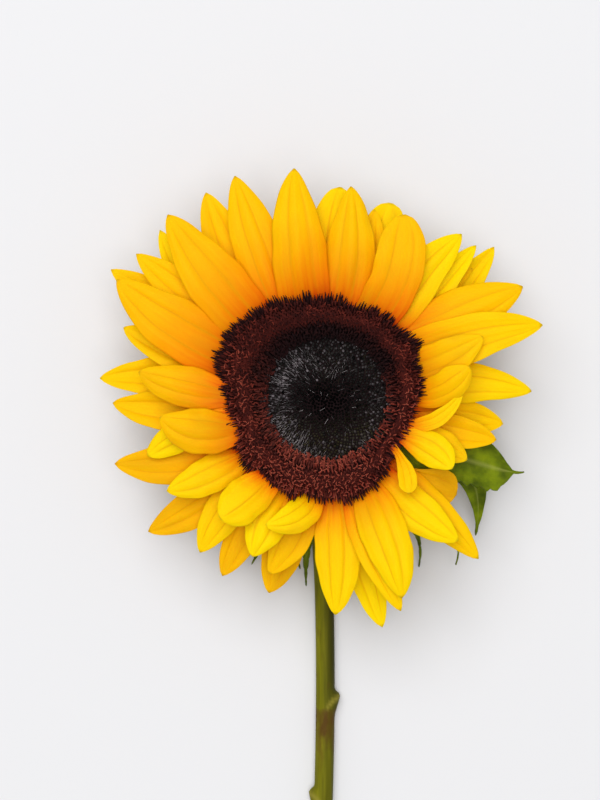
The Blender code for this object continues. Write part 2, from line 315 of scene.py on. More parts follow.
def petalShare(name, footAt, s):
    # the share of the full width at s, from the claw to the pointed tip; the upper petals are
    # broadest low down, and lie over each other there
    values = petalValues
    upper = values["upperFrom"] < footAt < values["upperTo"]
    usual = (values["claw"], -0.1, 0.34, values["widest"], values["tipPower"])
    if upper:
        usual = (values["upperClaw"], -0.1, 0.34, values["upperWidest"], values["tipPower"])
    claw, start, stop, widest, tipPower = petalOutlines.get(name, usual)
    grown = claw + (1 - claw) * smoothStep(start, stop, s)
    past = np.clip((s - widest) / (1 - widest), 0, 1)
    share = grown * np.maximum(1 - past * past, 0.004) ** tipPower
    return share * (values["upperWidth"] if upper else 1)


def bladePlaces(foot, knee, tip, s, u, halfWidth, roll, cup, relief):
    # an arched middle line, and across it an arc that the cup bends
    s = s[:, None]
    middle = (1 - s) ** 2 * foot + 2 * s * (1 - s) * knee + s * s * tip
    along = unit((1 - s) * (knee - foot) + s * (tip - knee))
    left = unit(np.cross([0.0, 0.0, 1.0], along))
    normal = np.cross(along, left)
    turn = roll * s
    left, normal = (left * np.cos(turn) + normal * np.sin(turn),
                    normal * np.cos(turn) - left * np.sin(turn))
    bend = cup * smoothStep(0, 0.4, s[:, 0]) + 1e-6
    across = halfWidth * np.sin(bend * u) / bend
    up = halfWidth * (1 - np.cos(bend * u)) / bend + relief
    return middle + left * across[:, None] + normal * up[:, None]


def bladeKnee(foot, tip, rise, bow):
    # where the middle line's arch turns: it leaves the head square to the rim
    chord = (tip - foot) * np.array([1.0, 1.0, 0.0])
    length = np.linalg.norm(chord)
    heading = unit(np.array([foot[0] - headX, foot[1] - headY, 0.0]))
    knee = foot + length * 0.5 * unit(3 * heading + chord / length)
    knee = knee + unit(np.array([-chord[1], chord[0], 0.0])) * 2 * bow
    knee[2] = foot[2] + length * 0.5 * math.tan(rise)
    return knee


def makePetal(name, row, material, luck):
    footAt, tipAt, reach, width, layer, roll, cup, bow, lemon = row
    values = petalValues
    foot = aroundHead(footAt, values["footRadius"], values["footHeight"] - layer * values["layerStep"])
    tipHeight = foot[2] + values["topTipHeight"] - layer * values["layerTipStep"]
    tip = aroundHead(tipAt, reach * mm, tipHeight)
    rise = math.radians(values["topRise"] - layer * values["layerRiseStep"])
    knee = bladeKnee(foot, tip, rise, bow * mm)
    reachHere = fringeAt(footAt)
    if layer < 2 and reachHere < values["shortFringe"]:
        foot = aroundHead(footAt, reachHere - values["underFringe"], rimTop + values["raisedFoot"])
    piece = addPrimitive("grid", x_subdivisions=values["rows"], y_subdivisions=values["columns"], size=2)
    flat = vertexPlaces(piece)
    s, u = (flat[:, 0] + 1) / 2, flat[:, 1]
    inside = smoothStep(0.02, 0.2, s) * (1 - smoothStep(0.78, 1, s))
    crease = np.zeros(len(s))
    shift = values["creaseShift"]
    creases = [place + luck.uniform(-shift, shift) for place in values["creases"]]
    for middle in singleCreases.get(name, creases):
        crease += np.exp(-((u - middle) / values["grooveWidth"]) ** 2)
    size = width / values["usualWidth"]
    veins = np.cos(u * values["veinRate"] + luck.uniform(0, 6))
    edge = np.abs(u) ** 3 * np.sin(s * luck.uniform(12, 20) + np.sign(u) * luck.uniform(0, 3))
    relief = size * inside * (values["lobeDepth"] * np.cos(3 * math.pi * u)
                              - values["grooveDepth"] * crease + values["veinDepth"] * veins)
    relief += size * values["ruffle"] * edge * smoothStep(0.2, 0.5, s) * (1 - s) * 2
    halfWidth = width * mm / 2 * petalShare(name, footAt, s)
    fold = values["fold"] * luck.uniform(-1, 1)
    relief += fold * halfWidth * (np.sqrt(u * u + 0.02) - 0.5) * smoothStep(0.05, 0.4, s)
    wave = np.sin(s * luck.uniform(6, 10) + np.sign(u) * luck.uniform(1, 3))
    wave += 0.5 * np.sin(s * luck.uniform(18, 28) + np.sign(u) * luck.uniform(1, 3))
    halfWidth = halfWidth * (1 + values["edgeWave"] * wave)
    places = bladePlaces(foot, knee, tip, s, u, halfWidth, math.radians(roll), cup, relief)
    setVertexPlaces(piece, places)
    # the first tone marks the creases, which the material darkens as painted shade
    setTones(piece, "petalTone", (crease * inside, lemon, luck.random()))
    upper = values["upperGlowFrom"] < footAt < values["upperGlowTo"]
    glow = values["upperGlow"] if upper else values["glow"]
    # the glow tone's second number is the painted shade of a petal that lies under others
    setTones(piece, "petalGlowAndShade", (glow, paintedShadePetals.get(name, 0.0), 0.0))
    applyModifier(piece, "SOLIDIFY", thickness=values["thickness"], offset=0)
    nodes = (name,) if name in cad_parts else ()
    return finishPiece(piece, "fresh_" + name, material, nodes)


def petalMaterial():
    # ray petal: a thin soft skin, satin, that light shines through; golden where it leaves the head
    # and clear yellow towards the tip, with fine lengthwise streaks 1 mm apart
    material, tree, shader, parts = newMaterial(
        "freshRayPetal", "petalTone", Roughness=0.6, IOR=1.3, Specular_IOR_Level=0.12,
        Subsurface_Weight=0.25, Subsurface_Scale=1.5 * mm)
    shader.inputs["Subsurface Radius"].default_value = (1.0, 0.6, 0.1)
    place = addNode(tree, "UVMap")
    axes = addNode(tree, "SeparateXYZ", links={"Vector": place})
    shift = addNode(tree, "Math", {"operation": "MULTIPLY", 1: 37.0}, {0: parts.outputs["Blue"]})
    stretch = addNode(tree, "CombineXYZ",
                      {"Z": 0.0}, {"X": axes.outputs["X"], "Y": axes.outputs["Y"], "Z": shift})
    streakMap = addNode(tree, "Mapping", {"Scale": (1.6, 15.0, 1.0)}, {"Vector": stretch})
    streak = addNode(tree, "TexNoise", {"Scale": 1.0, "Detail": 3.0}, {"Vector": streakMap})
    patchMap = addNode(tree, "Mapping", {"Scale": (2.5, 2.0, 1.0)}, {"Vector": stretch})
    patch = addNode(tree, "TexNoise", {"Scale": 1.0, "Detail": 1.0}, {"Vector": patchMap})
    wobble = addNode(tree, "Math", {"operation": "MULTIPLY_ADD", 1: 0.3, 2: -0.15}, {0: streak})
    side = addNode(tree, "Math", {"operation": "SUBTRACT", 1: 0.5}, {0: axes.outputs["Y"]})
    skew = addNode(tree, "Math",
                   {"operation": "MULTIPLY_ADD", 1: 0.5, 2: -0.25}, {0: parts.outputs["Blue"]})
    slant = addNode(tree, "Math", {"operation": "MULTIPLY_ADD"}, {0: side, 1: skew, 2: wobble})
    glowAndShadeTone = addNode(tree, "VertexColor", {"layer_name": "petalGlowAndShade"})
    glow = addNode(tree, "SeparateColor", links={"Color": glowAndShadeTone})
    slanted = addNode(tree, "Math", {"operation": "MULTIPLY_ADD", 1: 0.7}, {0: slant, 2: axes.outputs["X"]})
    stretched = addNode(tree, "Math", {"operation": "DIVIDE"}, {0: slanted, 1: glow.outputs["Red"]})
    length = addNode(tree, "Math", {"operation": "MULTIPLY", 1: 0.4, "use_clamp": True}, {0: stretched})
    golden = addNode(tree, "ValToRGB", links={"Fac": length},
                     stops=[(0, "D04000"), (0.14, "E87200"), (0.36, "F09600"), (0.6, "F0AC00"),
                            (1, "F0B400")])
    lemon = addNode(tree, "ValToRGB", links={"Fac": length},
                    stops=[(0, "D85000"), (0.12, "EC8400"), (0.3, "F4AE00"), (0.5, "F4C400"),
                           (1, "F4CE00")])
    lemonShare = addNode(tree, "Math", {"operation": "MULTIPLY_ADD", 1: 0.5, 2: -0.25}, {0: patch})
    lemonMix = addNode(tree, "Math",
                       {"operation": "ADD", "use_clamp": True}, {0: lemonShare, 1: parts.outputs["Green"]})
    skin = addNode(tree, "Mix", {"data_type": "RGBA"}, {"Factor": lemonMix, 6: golden, 7: lemon})
    # painted shade: the creases are darkened to a deeper orange, as shade in their grooves
    creaseShadeShare = addNode(tree, "Math", {"operation": "MULTIPLY", 1: 0.6}, {0: parts.outputs["Red"]})
    creaseShaded = addNode(tree, "Mix", {"data_type": "RGBA", 7: hexColour("D69200")},
                      {"Factor": creaseShadeShare, 6: skin.outputs[2]})
    tipShare = addNode(tree, "MapRange",
                       {"From Min": 0.97, "From Max": 1.0, "To Max": 0.4}, {"Value": axes.outputs["X"]})
    tipped = addNode(tree, "Mix", {"data_type": "RGBA", 7: hexColour("9C8C20")},
                     {"Factor": tipShare, 6: creaseShaded.outputs[2]})
    # painted shade: the petals under others turn a duller golden brown, in patches
    paintedShadeShare = addNode(tree, "Math",
                        {"operation": "MULTIPLY_ADD", 1: 1.4}, {0: patch, 2: glow.outputs["Green"]})
    paintedShadeReach = addNode(tree, "MapRange",
                        {"From Min": 0.75, "From Max": 1.6, "To Max": 0.7}, {"Value": paintedShadeShare})
    paintedShaded = addNode(tree, "Mix", {"data_type": "RGBA", 7: hexColour("CC8E08")},
                     {"Factor": paintedShadeReach, 6: tipped.outputs[2]})
    tree.links.new(paintedShaded.outputs[2], shader.inputs["Base Color"])
    bump = addNode(tree, "Bump", {"Strength": 0.25, "Distance": 0.2 * mm}, {"Height": streak})
    tree.links.new(bump.outputs[0], shader.inputs["Normal"])
    return material


def makePetals():
    material = petalMaterial()
    luck = random.Random(7)
    for number, row in enumerate(petalRows, 1):
        makePetal(f"petal_{number:02d}", row, material, luck)
    for number, row in enumerate(hiddenPetalRows, 1):
        makePetal(f"tucked_petal_{number}", row, material, luck)
    print("petals done:", len(petalRows) + len(hiddenPetalRows))


# the disc of florets: an outer ring of open ones round a recess of closed ones
discValues = {
    "recessRadius": 22.9 * mm,
    "recessShiftX": 2.3 * mm,
    "recessShiftY": 0.3 * mm,
    "outerRadius": 37 * mm,
    "fringe": 3.0 * mm,
    "centreHeight": rimTop + 1.7 * mm,
    "ringHeight": rimTop + 4.1 * mm,
    "edgeHeight": rimTop + 1.8 * mm,
    "dip": 0.7 * mm,
    "bedSteps": 90,
    "bedThickness": 0.8 * mm,
    "ringSpacing": 0.51 * mm,
    "innerLean": -54,
    "outerLean": 72,
    "leanSpread": 9,
    "sideLean": 0.12,
    "paintedShadeSide": 80,
    "openLength": 3.4 * mm,
    "spikeRadius": 0.42 * mm,
    "spikeTip": 0.1 * mm,
    "openRadius": 0.27 * mm,
    "armRadius": 0.23 * mm,
    "armThickness": 0.13 * mm,
    "armCurl": 200,
    "budSpacing": 0.58 * mm,
    "budLength": 1.7 * mm,
    "budRadius": 0.56 * mm,
    "hairSpacing": 0.5 * mm,
    "hairLength": 2.4 * mm,
    "hairRadius": 0.13 * mm,
    "hairTip": 0.03 * mm,
    "strayShare": 0.045,
}
goldenAngle = math.pi * (3 - math.sqrt(5))


def bedEdge(x, y):
    # the radius at which the florets end, in this direction
    return fringeAt(np.degrees(np.arctan2(y, x))) - discValues["fringe"]


def ringPlace(x, y):
    # how far across the ring a place is: 0 at the recess, 1 at the outside, and below 0 in the recess
    values = discValues
    fromRecess = np.hypot(x - values["recessShiftX"], y - values["recessShiftY"]) - values["recessRadius"]
    fromEdge = np.maximum(bedEdge(x, y) - np.hypot(x, y), 0)
    return np.where(fromRecess < 0, fromRecess / values["recessRadius"],
                    fromRecess / np.maximum(fromRecess + fromEdge, 1e-6))


def discHeight(x, y):
    values = discValues
    across = ringPlace(x, y)
    dip = values["dip"] * (1 - smoothStep(0, 0.45, across + 1))
    inner = values["centreHeight"] - dip
    risen = inner + (values["ringHeight"] - inner) * smoothStep(-0.06, 0.22, across)
    return risen + (values["edgeHeight"] - values["ringHeight"]) * smoothStep(0.55, 1.05, across)


def makeDiscBed(material):
    # the surface that the florets stand on, a dish with a raised rim
    steps = discValues["bedSteps"]
    piece = addPrimitive("grid", x_subdivisions=steps, y_subdivisions=steps, size=2)
    flat = vertexPlaces(piece)
    x = flat[:, 0] * np.sqrt(1 - flat[:, 1] ** 2 / 2)
    y = flat[:, 1] * np.sqrt(1 - flat[:, 0] ** 2 / 2)
    edge = np.maximum(bedEdge(x, y), rimRadius + 0.4 * mm)
    x, y = x * edge, y * edge
    places = np.stack([headX + x, headY + y, discHeight(x, y)], 1)
    setVertexPlaces(piece, places)
    setTones(piece, "floretTone", (0.0, 0.35 * smoothStep(0.1, 0.3, ringPlace(x, y)), 0.0))
    applyModifier(piece, "SOLIDIFY", thickness=discValues["bedThickness"], offset=-1)
    finishPiece(piece, "floret_bed", material)


def joinedTemplate(pieces, tones):
    # several small shapes as one set of points, faces and tones, and the shapes themselves go
    places, faces, marks, start = [], [], [], 0
    for piece, tone in zip(pieces, tones):
        places.append(vertexPlaces(piece))
        faces += [tuple(start + i for i in face.vertices) for face in piece.data.polygons]
        marks += [tone] * len(places[-1])
        start += len(places[-1])
        bpy.data.objects.remove(piece, do_unlink=True)
    return np.concatenate(places), faces, np.array(marks)


def standingCone(sides, footRadius, topRadius, height):
    piece = addPrimitive("cone", vertices=sides, radius1=footRadius, radius2=topRadius, depth=height,
                         location=(0, 0, height / 2))
    bpy.ops.object.transform_apply(location=True, rotation=True, scale=True)
    return piece


def stigmaArm(side, turn):
    # one of the two curled arms at the mouth of an open floret: a small three-sided hook
    values = discValues
    radius = values["armRadius"]
    piece = addPrimitive("circle", vertices=3, radius=values["armThickness"], fill_type="NGON")
    bpy.ops.object.mode_set(mode="EDIT")
    bpy.ops.mesh.select_all(action="SELECT")
    bpy.ops.mesh.spin(steps=4, angle=math.radians(values["armCurl"]), center=(radius, 0, 0), axis=(0, 1, 0))
    bpy.ops.mesh.select_all(action="SELECT")
    bpy.ops.mesh.normals_make_consistent(inside=False)
    bpy.ops.object.mode_set(mode="OBJECT")
    places = vertexPlaces(piece)
    places[:, 2] += values["openLength"] * 0.97
    places[:, 0] += 0.1 * mm
    places[:, 0] *= side
    swing = math.radians(turn)
    x = places[:, 0] * math.cos(swing) - places[:, 1] * side * math.sin(swing)
    y = places[:, 0] * math.sin(swing) + places[:, 1] * side * math.cos(swing)
    setVertexPlaces(piece, np.stack([x, y, places[:, 2]], 1))
    return piece


def openFloretTemplate():
    # a dark tube that widens to its mouth, with two curled arms over it
    values = discValues
    tube = standingCone(6, values["openRadius"] * 0.7, values["openRadius"], values["openLength"])
    bpy.ops.object.mode_set(mode="EDIT")
    bpy.ops.mesh.select_all(action="DESELECT")
    bpy.ops.object.mode_set(mode="OBJECT")
    for face in tube.data.polygons:
        face.select = face.normal.z > 0.9
    bpy.ops.object.mode_set(mode="EDIT")
    bpy.ops.mesh.select_mode(type="FACE")
    bpy.ops.mesh.inset(thickness=0.18 * mm, depth=-0.3 * mm)
    bpy.ops.object.mode_set(mode="OBJECT")
    return joinedTemplate([tube, stigmaArm(1, 0), stigmaArm(-1, 25)], (0.0, 1.0, 1.0))


def spikeTemplate():
    # a floret of the outer fringe, still closed: a dark point
    values = discValues
    spike = standingCone(5, values["spikeRadius"], values["spikeTip"], values["openLength"])
    return joinedTemplate([spike], (0.3,))


def budTemplate():
    # a closed floret: a small pointed egg
    values = discValues
    bud = addPrimitive("uv_sphere", segments=6, ring_count=5, radius=1)
    places = vertexPlaces(bud)
    high = (places[:, 2:3] + 1) / 2
    places[:, :2] *= values["budRadius"] * (1.05 - 0.45 * high)
    places[:, 2] = high[:, 0] * values["budLength"]
    setVertexPlaces(bud, places)
    return joinedTemplate([bud], (0.5,))


def hairTemplate():
    # a thin straight bristle that stands between the buds
    values = discValues
    hair = standingCone(3, values["hairRadius"], values["hairTip"], values["hairLength"])
    return joinedTemplate([hair], (1.0,))


def scatter(name, template, spots, material, nodes=()):
    # spots: place, direction, spin, size and tones for each copy, all joined into one piece
    basePlaces, baseFaces, marks = template
    places, faces, tones, start = [], [], [], 0
    for place, direction, spin, size, tone in spots:
        up = Vector(direction)
        turn = np.array(up.to_track_quat("Z", "Y").to_matrix())
        c, s = math.cos(spin), math.sin(spin)
        turn = turn @ np.array([[c, -s, 0], [s, c, 0], [0, 0, 1]])
        places.append(basePlaces * size @ turn.T + place)
        faces += [tuple(start + i for i in face) for face in baseFaces]
        rows = np.empty((len(marks), 3))
        rows[:, 0], rows[:, 1], rows[:, 2] = marks, tone[0], tone[1]
        tones.append(rows)
        start += len(marks)
    data = bpy.data.meshes.new(name)
    data.from_pydata(np.concatenate(places).tolist(), [], faces)
    piece = bpy.data.objects.new(name, data)
    bpy.context.scene.collection.objects.link(piece)
    setTones(piece, "floretTone", np.concatenate(tones).T)
    return finishPiece(piece, name, material, nodes)


def spiral(spacing, radius):
    # sunflower heads grow florets on a spiral of golden-angle steps
    count = int((radius / spacing) ** 2)
    for i in range(count):
        reach = spacing * math.sqrt(i + 0.5)
        yield reach * math.cos(i * goldenAngle), reach * math.sin(i * goldenAngle)


def leaning(x, y, degrees):
    # a direction that leans this much outwards (or inwards, below 0) from straight up
    reach = math.hypot(x, y) or 1
    lean = math.radians(degrees)
    return np.array([x / reach * math.sin(lean), y / reach * math.sin(lean), math.cos(lean)])


def jitter(luck, spread, up=0):
    # a small random step or lean to the side
    return np.array([luck.uniform(-spread, spread), luck.uniform(-spread, spread), up])


def makeOpenFlorets(material):
    values = discValues
    luck = random.Random(11)
    inner, outer, fringe = [], [], []
    for x, y in spiral(values["ringSpacing"], values["outerRadius"]):
        across = float(ringPlace(x, y))
        if across < 0 or math.hypot(x, y) > bedEdge(x, y):
            continue
        lean = values["innerLean"] * (1 - smoothStep(0.05, 0.5, across))
        lean += values["outerLean"] * smoothStep(0.5, 1, across)
        lean += luck.uniform(-values["leanSpread"], values["leanSpread"])
        direction = leaning(x, y, lean) + jitter(luck, values["sideLean"])
        place = np.array([headX + x, headY + y, float(discHeight(x, y)) - 0.3 * mm])
        azimuth = math.atan2(y, x)
        clump = 0.16 * math.sin(azimuth * 23) + 0.12 * math.sin(azimuth * 37 + 1)
        size = luck.uniform(0.85, 1.1) * (1 + clump * smoothStep(0.8, 1, across))
        size *= 1.25 - 0.25 * smoothStep(0.15, 0.4, across)
        # painted shade and light: the florets are darkened towards one side of the ring and along the
        # recess's edge, where shade falls, and lightened at the lower side; their rust colour also varies
        # at random
        shade = 0.5 + 0.5 * math.cos(azimuth - math.radians(values["paintedShadeSide"]))
        inside = 1 - smoothStep(0.15, 0.6, across)
        deepShade = smoothStep(0.55, 0.85, shade)
        rustAndShade = luck.uniform(0.1, 1.3) * (1.25 - 0.9 * shade + 0.3 * max(0, -math.sin(azimuth)))
        rustAndShade *= 1 - 0.95 * smoothStep(0.72, 0.95, across)
        rustAndShade *= 1 - 0.9 * inside * deepShade
        rustAndShade *= 1 - inside * (0.3 + 0.4 * max(0, -math.cos(azimuth)))
        # painted light: the pinkish tubes of the recess's wall show only on its lit side
        litFilament = (1 - smoothStep(0.15, 0.55, across)) * max(0, 1 - shade * 1.3)
        litFilament *= luck.uniform(0.0, 0.35)
        spot = (place, direction, luck.uniform(0, 6.28), size, (rustAndShade, litFilament))
        if across > 0.8:
            fringe.append(spot)
            nearby = place + jitter(luck, 0.4, -0.1) * mm
            swung = direction + jitter(luck, 0.2, 0.1)
            spin = luck.uniform(0, 6.28)
            fringe.append((nearby, swung, spin, size * luck.uniform(0.8, 1.05), (rustAndShade, 0)))
        else:
            (inner if across < 0.4 else outer).append(spot)
    template = openFloretTemplate()
    scatter("open_florets_inside", template, inner, material, ("open_florets",))
    scatter("open_florets_outside", template, outer, material)
    scatter("floret_fringe", spikeTemplate(), fringe, material)
    print("open florets:", len(inner), len(outer), len(fringe))


def bristlesAndSheenAt(across, up):
    # how many bristles stand and how strong the painted highlights on them and on the buds are, in patches:
    # most at the left edge and above the middle, none in the middle
    reach = math.hypot(across, up)
    rim = smoothStep(0.2, 0.75, reach)
    left = smoothStep(0.0, -0.7, across)
    upperLeft = math.exp(-((across + 0.35) ** 2 + (up - 0.42) ** 2) / 0.05)
    upperMiddle = math.exp(-((across - 0.08) ** 2 + (up - 0.55) ** 2) / 0.09)
    lower = smoothStep(0.0, -0.7, up)
    right = smoothStep(0.2, 0.9, across)
    top = smoothStep(0.55, 0.9, up)
    patch = 0.5 + 0.9 * noise.noise(Vector((across * 5.5, up * 5.5, 3.0)))
    spread = rim * (0.12 + 0.75 * left + 0.45 * lower + 0.4 * right) * (1 - 0.7 * top)
    spots = 0.5 * upperLeft + 0.8 * upperMiddle
    return min(1, max(0, (spread + spots) * (0.5 + 0.7 * patch)))


def makeClosedFlorets(material):
    values = discValues
    luck = random.Random(13)
    buds, hairs = [], []
    shiftX, shiftY = values["recessShiftX"], values["recessShiftY"]
    for x, y in spiral(values["budSpacing"], values["recessRadius"] - 0.2 * mm):
        atX, atY = x + shiftX, y + shiftY
        height = float(discHeight(atX, atY)) - 0.5 * mm
        place = np.array([headX + atX, headY + atY, height])
        direction = leaning(x, y, -25 * math.hypot(x, y) / values["recessRadius"]) + jitter(luck, 0.2)
        bristleSheen = bristlesAndSheenAt(x / values["recessRadius"], y / values["recessRadius"])
        outwards = smoothStep(0.1, 0.8, math.hypot(x, y) / values["recessRadius"])
        # painted glints: highlights painted into the buds' colour, most in the sheen's patches
        glint = luck.uniform(0, 0.32 * outwards) + bristleSheen * luck.uniform(0, 0.4)
        if luck.random() < 0.08 * bristleSheen + 0.006:
            glint = luck.uniform(0.35, 0.6)
        brown = smoothStep(0.0, -0.6, y / values["recessRadius"]) * luck.random() * outwards
        buds.append((place, direction, luck.uniform(0, 6.28), luck.uniform(0.8, 1.1), (glint, brown)))
    for x, y in spiral(values["hairSpacing"], values["recessRadius"] - 0.4 * mm):
        across, up = x / values["recessRadius"], y / values["recessRadius"]
        bristleSheen = bristlesAndSheenAt(across, up)
        stray = luck.random() < values["strayShare"]
        if not stray and luck.random() > bristleSheen * (1 if across < 0.25 else 0.6):
            continue
        atX, atY = x + shiftX, y + shiftY
        height = float(discHeight(atX, atY)) + 0.4 * mm
        place = np.array([headX + atX, headY + atY, height])
        direction = leaning(x, y, luck.uniform(-80, -62)) + jitter(luck, 0.75 if across > -0.3 else 0.25)
        # the bristles' pale tone is partly their own colour and partly painted reflection
        paleAndSheen = luck.uniform(0.4, 0.9) if stray else min(0.8, bristleSheen * luck.uniform(0.3, 1.1))
        brown = smoothStep(-0.5, 0.1, across) * luck.random() * (0.4 if stray else 1)
        hairs.append((place, direction, 0.0, luck.uniform(0.4 if stray else 0.6, 1.1), (paleAndSheen, brown)))
    scatter("closed_florets_fresh", budTemplate(), buds, material, ("closed_florets",))
    scatter("disc_bristles", hairTemplate(), hairs, material)
    print("closed florets:", len(buds), "bristles:", len(hairs))


def openFloretMaterial():
    # open florets: dry dark maroon tubes with a dusty surface, and rust-red velvety arms, their tones
    # carrying painted shade and light
    material, tree, shader, parts = newMaterial(
        "openFloretVelvet", "floretTone", Roughness=0.85, Specular_IOR_Level=0.15)
    place = addNode(tree, "TexCoord").outputs["Object"]
    patch = addNode(tree, "TexNoise", {"Scale": 190.0, "Detail": 2.0}, {"Vector": place})
    patchy = addNode(tree, "Math", {"operation": "MULTIPLY_ADD", 1: 2.2, 2: -0.1}, {0: patch})
    # the green tone is the rust colour together with painted shade and light; the blue tone paints the lit
    # tubes pinkish
    rustAndShade = addNode(tree, "Math", {"operation": "MULTIPLY"}, {0: parts.outputs["Green"], 1: patchy})
    arm = addNode(tree, "ValToRGB", links={"Fac": rustAndShade},
                  stops=[(0.0, "1C080A"), (0.3, "5E2219"), (0.65, "984230"), (1.0, "B4604A")])
    darkTube = addNode(tree, "Mix", {"data_type": "RGBA", 6: hexColour("140507"), 7: hexColour("74281E")},
                       {"Factor": rustAndShade})
    tube = addNode(tree, "Mix", {"data_type": "RGBA", 7: hexColour("9C5244")},
                   {"Factor": parts.outputs["Blue"], 6: darkTube.outputs[2]})
    skin = addNode(tree, "Mix",
                   {"data_type": "RGBA"}, {"Factor": parts.outputs["Red"], 6: tube.outputs[2], 7: arm})
    tree.links.new(skin.outputs[2], shader.inputs["Base Color"])
    grit = addNode(tree, "TexNoise", {"Scale": 4000.0, "Detail": 1.0}, {"Vector": place})
    bump = addNode(tree, "Bump", {"Strength": 0.3, "Distance": 0.1 * mm}, {"Height": grit})
    tree.links.new(bump.outputs[0], shader.inputs["Normal"])
    return material


def closedFloretMaterial():
    # closed florets: black waxy buds and bristles, with painted grey-violet and white highlights on some
    material, tree, shader, parts = newMaterial(
        "closedFloretWax", "floretTone", Roughness=0.6, Specular_IOR_Level=0.02)
    # the green tone runs from black through painted grey-violet highlights to white glints
    glint = addNode(tree, "ValToRGB", links={"Fac": parts.outputs["Green"]},
                    stops=[(0.0, "020303"), (0.3, "2C2A29"), (0.6, "7A7276"), (1.0, "DCD4D4")])
    warm = addNode(tree, "Math", {"operation": "MULTIPLY", 1: 0.75}, {0: parts.outputs["Blue"]})
    skin = addNode(tree, "Mix", {"data_type": "RGBA", 7: hexColour("3A3420")}, {"Factor": warm, 6: glint})
    tree.links.new(skin.outputs[2], shader.inputs["Base Color"])
    place = addNode(tree, "TexCoord").outputs["Object"]
    grit = addNode(tree, "TexNoise", {"Scale": 2500.0, "Detail": 1.0}, {"Vector": place})
    bump = addNode(tree, "Bump", {"Strength": 0.3, "Distance": 0.1 * mm}, {"Height": grit})
    tree.links.new(bump.outputs[0], shader.inputs["Normal"])
    return material


# the green bracts behind the petals
bractValues = {
    "columns": 14,
    "rows": 52,
    "thickness": 0.6 * mm,
    "footRadius": 30.1 * mm,
    "footHeight": rimTop - 10 * mm,
    "droop": -6,
    "cup": 0.35,
    "midrib": 0.5 * mm,
    "midribWidth": 0.12,
    "veinHeight": 0.16 * mm,
    "toothDepth": 0.2,
    "teeth": 13,
    "lowFoot": 3 * mm,
    "lowTip": 7,
}

# a row for each solid bract: direction of foot and tip in degrees, tip's distance from the axis and
# height in mm, width and bow in mm; then where its shoulder and its thin tail start along it, and how
# toothed its edge is
bractRows = [
    (336.5, 339.8, 74.2, 27, 16.5, -0.5, 0.66, 0.92, 1.0),
    (335, 319.6, 73.0, 6, 12.4, 7.4, 0.44, 0.98, 0.0),
    (303.5, 302.2, 69, 0.6, 11, 4.0, 0.1, 0.8, 0.0),
    (268, 266, 65, 13, 5.6, -1.7, 0.1, 0.95, 0.0),
    (238, 236, 60, 0.6, 13, 0, 0.2, 0.9, 0.0),
    (203, 200, 60, 0.6, 14, 0, 0.2, 0.85, 0.0),
    (167, 165, 62, 0.6, 14, 0, 0.2, 0.85, 0.0),
    (126, 125, 62, 0.6, 14, 0, 0.2, 0.85, 0.0),
    (82, 80, 60, 0.6, 14, 0, 0.2, 0.85, 0.0),
    (36, 35, 60, 0.6, 14, 0, 0.2, 0.85, 0.0),
]

# the inner whorl, which lies close under the petals
innerBractRows = [
    (322, 311, 75.4, 8, 9, 2, 0.1, 0.7, 0.0),
    (327, 325, 50, 33, 13, 0, 0.5, 0.95, 0.0),
    (256, 263.5, 59, 16, 5, 0, 0.2, 0.85, 0.0),
    (250, 247.8, 62, 12, 10, 0, 0.2, 0.9, 0.0),
    (221, 220, 56, 16, 12, 0, 0.2, 0.85, 0.0),
    (185, 184, 56, 18, 12, 0, 0.2, 0.85, 0.0),
    (147, 146, 58, 18, 12, 0, 0.2, 0.85, 0.0),
    (104, 103, 60, 20, 12, 0, 0.2, 0.85, 0.0),
    (59, 58, 58, 18, 12, 0, 0.2, 0.85, 0.0),
    (13, 12, 56, 18, 12, 0, 0.2, 0.85, 0.0),
]


# how far the end of a thin tail hooks to one side, in mm, and where along the bract that starts
tailHooks = {
    "bract_01": (-0.7, 0.93),
    "bract_02": (0.8, 0.7),
    "bract_03": (1.6, 0.72),
    "inner_bract_1": (1.9, 0.9),
}


def bractShare(s, shoulder, tail, fullness):
    # the share of the full width at s: broad to its shoulder, then narrowing to a thin drawn-out tail
    grown = 0.6 + 0.4 * smoothStep(0, 0.25, s)
    past = np.clip((s - shoulder) / (tail - shoulder), 0, 1)
    narrowed = 1 - past ** fullness
    thin = 0.05 * (1 - smoothStep(tail, 1, s)) + 0.015
    return np.maximum(grown * narrowed, thin)


